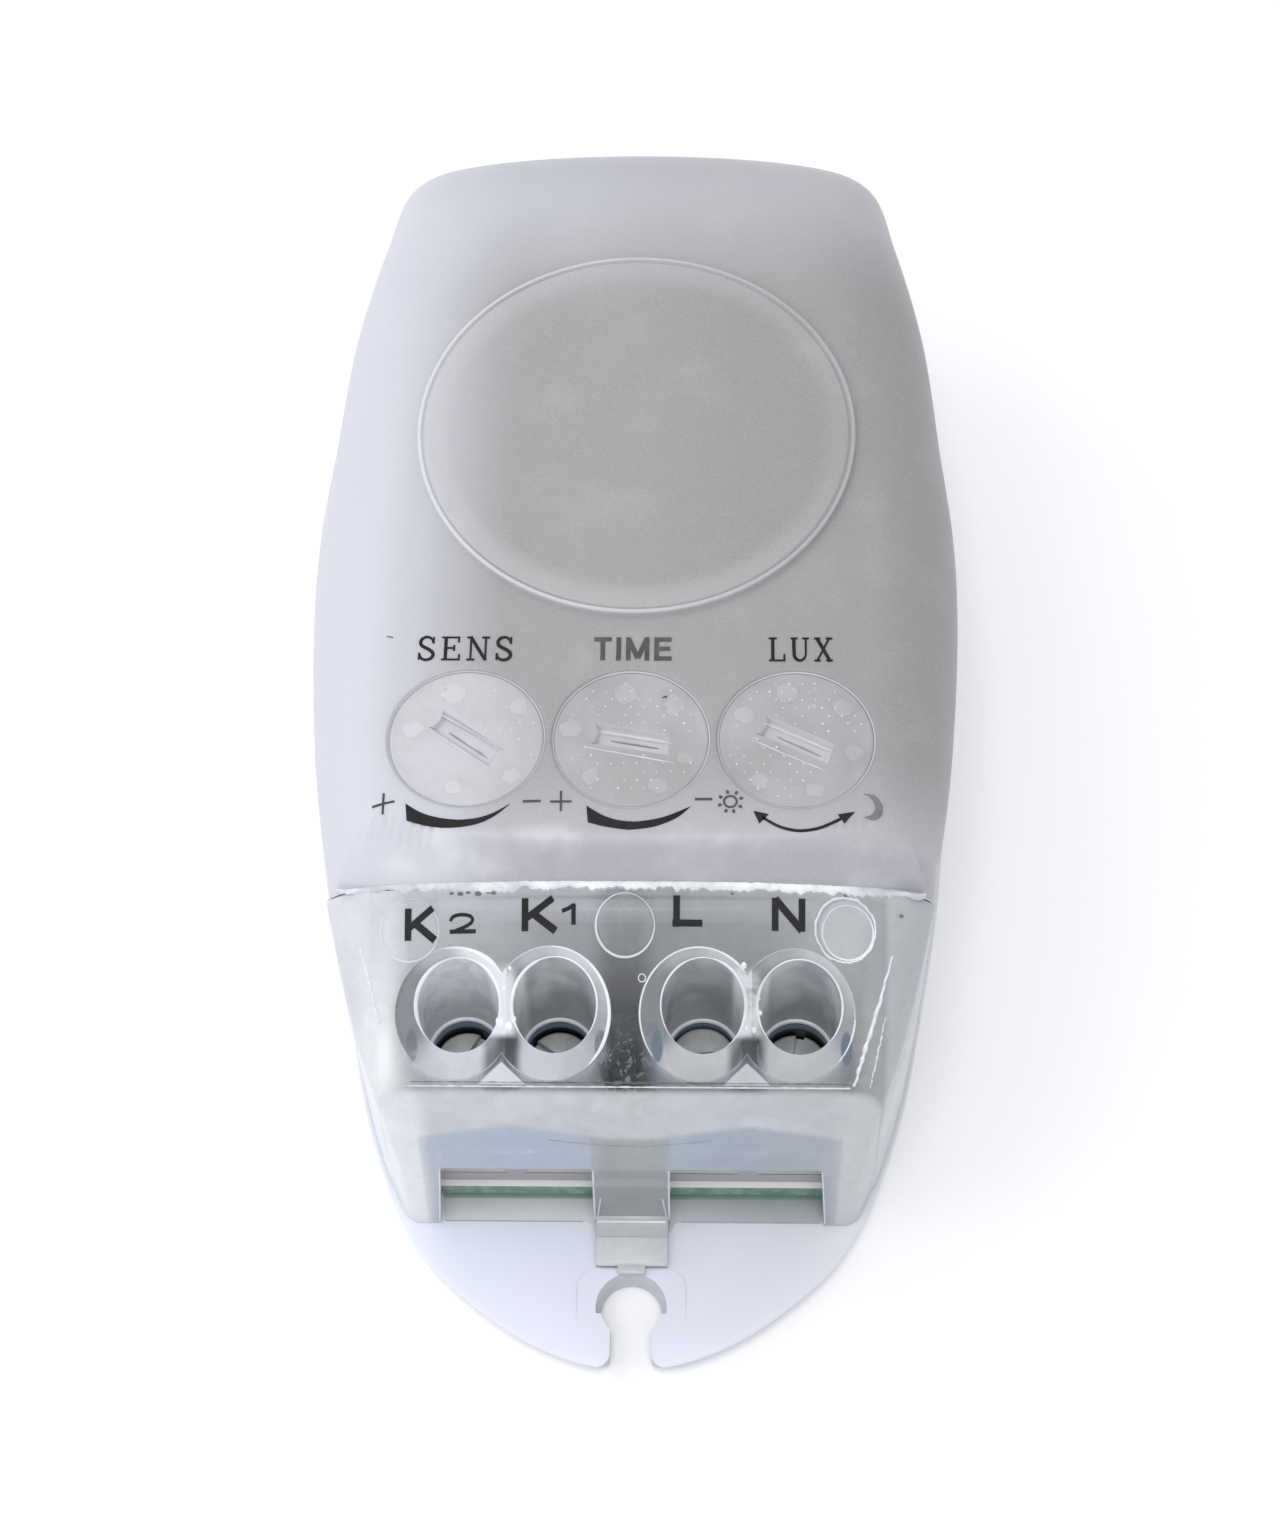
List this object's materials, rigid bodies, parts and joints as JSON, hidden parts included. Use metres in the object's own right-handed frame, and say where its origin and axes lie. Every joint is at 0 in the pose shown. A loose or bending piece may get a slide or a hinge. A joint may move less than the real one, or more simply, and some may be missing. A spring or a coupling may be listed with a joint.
{
  "type": "microwave motion sensor",
  "caption": "Compact oval motion sensor housing with a raised disc over the aerial, slotted adjusters, and a hazy cover over screw terminals with a screwdriver well for each.",
  "frame": {"origin": "centre of the base plate's box, on the underside of the base plate", "axes": "+Z away from the mounting surface through the front of the sensor, +Y from the keyhole end to the aerial end, +X to the right in the picture"},
  "size_m": [0.0558, 0.108, 0.0329],
  "materials": {
    "base_plastic": "satin",
    "frosted_plastic": "frosted, slightly see-through",
    "clear_plastic": "hazy clear",
    "knob_plastic": "satin",
    "rotor_plastic": "satin",
    "trimmer_plastic": "satin",
    "board": "solder mask",
    "spacer_plastic": "satin",
    "screw_steel": "zinc plated",
    "tin": "tinned",
    "black_plastic": "satin",
    "sensor_resin": "clear resin",
    "relay_plastic": "satin",
    "film_yellow": "gloss",
    "sleeve_plastic": "gloss",
    "varistor_coat": "gloss",
    "fuse_coat": "gloss",
    "block_plastic": "satin",
    "plated_steel": "plated"
  },
  "bodies": {
    "housing": {"base_plate": "base_plastic", "main_cover": "frosted_plastic", "sens_trimmer": "trimmer_plastic", "time_trimmer": "trimmer_plastic", "lux_trimmer": "trimmer_plastic", "power_board": "board", "control_board": "board", "board_spacers": "spacer_plastic", "board_screws": "screw_steel", "pin_header": "black_plastic", "aerial_ring": "tin", "radar_can": "tin", "timer_chip": "black_plastic", "light_sensor": "sensor_resin", "relay": "relay_plastic", "film_capacitor": "film_yellow", "storage_capacitor": "sleeve_plastic", "output_capacitor": "sleeve_plastic", "bridge_rectifier": "black_plastic", "varistor": "varistor_coat", "fuse_resistor": "fuse_coat", "choke_coil": "black_plastic", "voltage_regulator": "black_plastic", "terminal_block_k": "block_plastic", "terminal_block_ln": "block_plastic", "wire_clamps_k": "plated_steel", "wire_clamps_ln": "plated_steel"},
    "terminal_lid": {"terminal_cover": "clear_plastic"},
    "sens_control": {"sens_knob": "knob_plastic", "sens_rotor": "rotor_plastic"},
    "time_control": {"time_knob": "knob_plastic", "time_rotor": "rotor_plastic"},
    "lux_control": {"lux_knob": "knob_plastic", "lux_rotor": "rotor_plastic"},
    "k2_press": {"k2_pressure_plate": "plated_steel"},
    "k2_clamp_screw": {"k2_screw": "screw_steel"},
    "k1_press": {"k1_pressure_plate": "plated_steel"},
    "k1_clamp_screw": {"k1_screw": "screw_steel"},
    "l_press": {"l_pressure_plate": "plated_steel"},
    "l_clamp_screw": {"l_screw": "screw_steel"},
    "n_press": {"n_pressure_plate": "plated_steel"},
    "n_clamp_screw": {"n_screw": "screw_steel"}
  },
  "joints": [
    {"name": "terminal_lid_swing", "type": "hinge", "parent": "housing", "child": "terminal_lid", "pos_m": [0, -0.0244, 0.0304], "axis": [-1, 0, 0], "range_deg": [0, 40]},
    {"name": "sens_turn", "type": "hinge", "parent": "housing", "child": "sens_control", "pos_m": [-0.0131, -0.0125, 0.0262], "axis": [0, 0, 1], "range_deg": [-135, 135]},
    {"name": "time_turn", "type": "hinge", "parent": "housing", "child": "time_control", "pos_m": [0, -0.0125, 0.0262], "axis": [0, 0, 1], "range_deg": [-135, 135]},
    {"name": "lux_turn", "type": "hinge", "parent": "housing", "child": "lux_control", "pos_m": [0.0131, -0.0125, 0.0262], "axis": [0, 0, 1], "range_deg": [-135, 135]},
    {"name": "k2_press_slide", "type": "slide", "parent": "housing", "child": "k2_press", "axis": [0, 0, 1], "range_m": [-0.0008, 0.0014]},
    {"name": "k2_screw_turn", "type": "hinge", "parent": "k2_press", "child": "k2_clamp_screw", "pos_m": [-0.0133, -0.0328, 0.012], "axis": [0, 0, 1], "range_deg": [-576.5, 1008.5]},
    {"name": "k1_press_slide", "type": "slide", "parent": "housing", "child": "k1_press", "axis": [0, 0, 1], "range_m": [-0.001, 0.0012]},
    {"name": "k1_screw_turn", "type": "hinge", "parent": "k1_press", "child": "k1_clamp_screw", "pos_m": [-0.0058, -0.0328, 0.012], "axis": [0, 0, 1], "range_deg": [-720.5, 864.5]},
    {"name": "l_press_slide", "type": "slide", "parent": "housing", "child": "l_press", "axis": [0, 0, 1], "range_m": [-0.002, 0.0002]},
    {"name": "l_screw_turn", "type": "hinge", "parent": "l_press", "child": "l_clamp_screw", "pos_m": [0.0058, -0.0328, 0.012], "axis": [0, 0, 1], "range_deg": [-1440.5, 144.5]},
    {"name": "n_press_slide", "type": "slide", "parent": "housing", "child": "n_press", "axis": [0, 0, 1], "range_m": [-0.0007, 0.0015]},
    {"name": "n_screw_turn", "type": "hinge", "parent": "n_press", "child": "n_clamp_screw", "pos_m": [0.0133, -0.0328, 0.012], "axis": [0, 0, 1], "range_deg": [-504.5, 1080.5]}
  ],
  "couplings": [
    {"joint": "k2_screw_turn", "follows": "k2_press_slide", "rad_per_m": 12566},
    {"joint": "k1_screw_turn", "follows": "k1_press_slide", "rad_per_m": 12566},
    {"joint": "l_screw_turn", "follows": "l_press_slide", "rad_per_m": 12566},
    {"joint": "n_screw_turn", "follows": "n_press_slide", "rad_per_m": 12566}
  ]
}
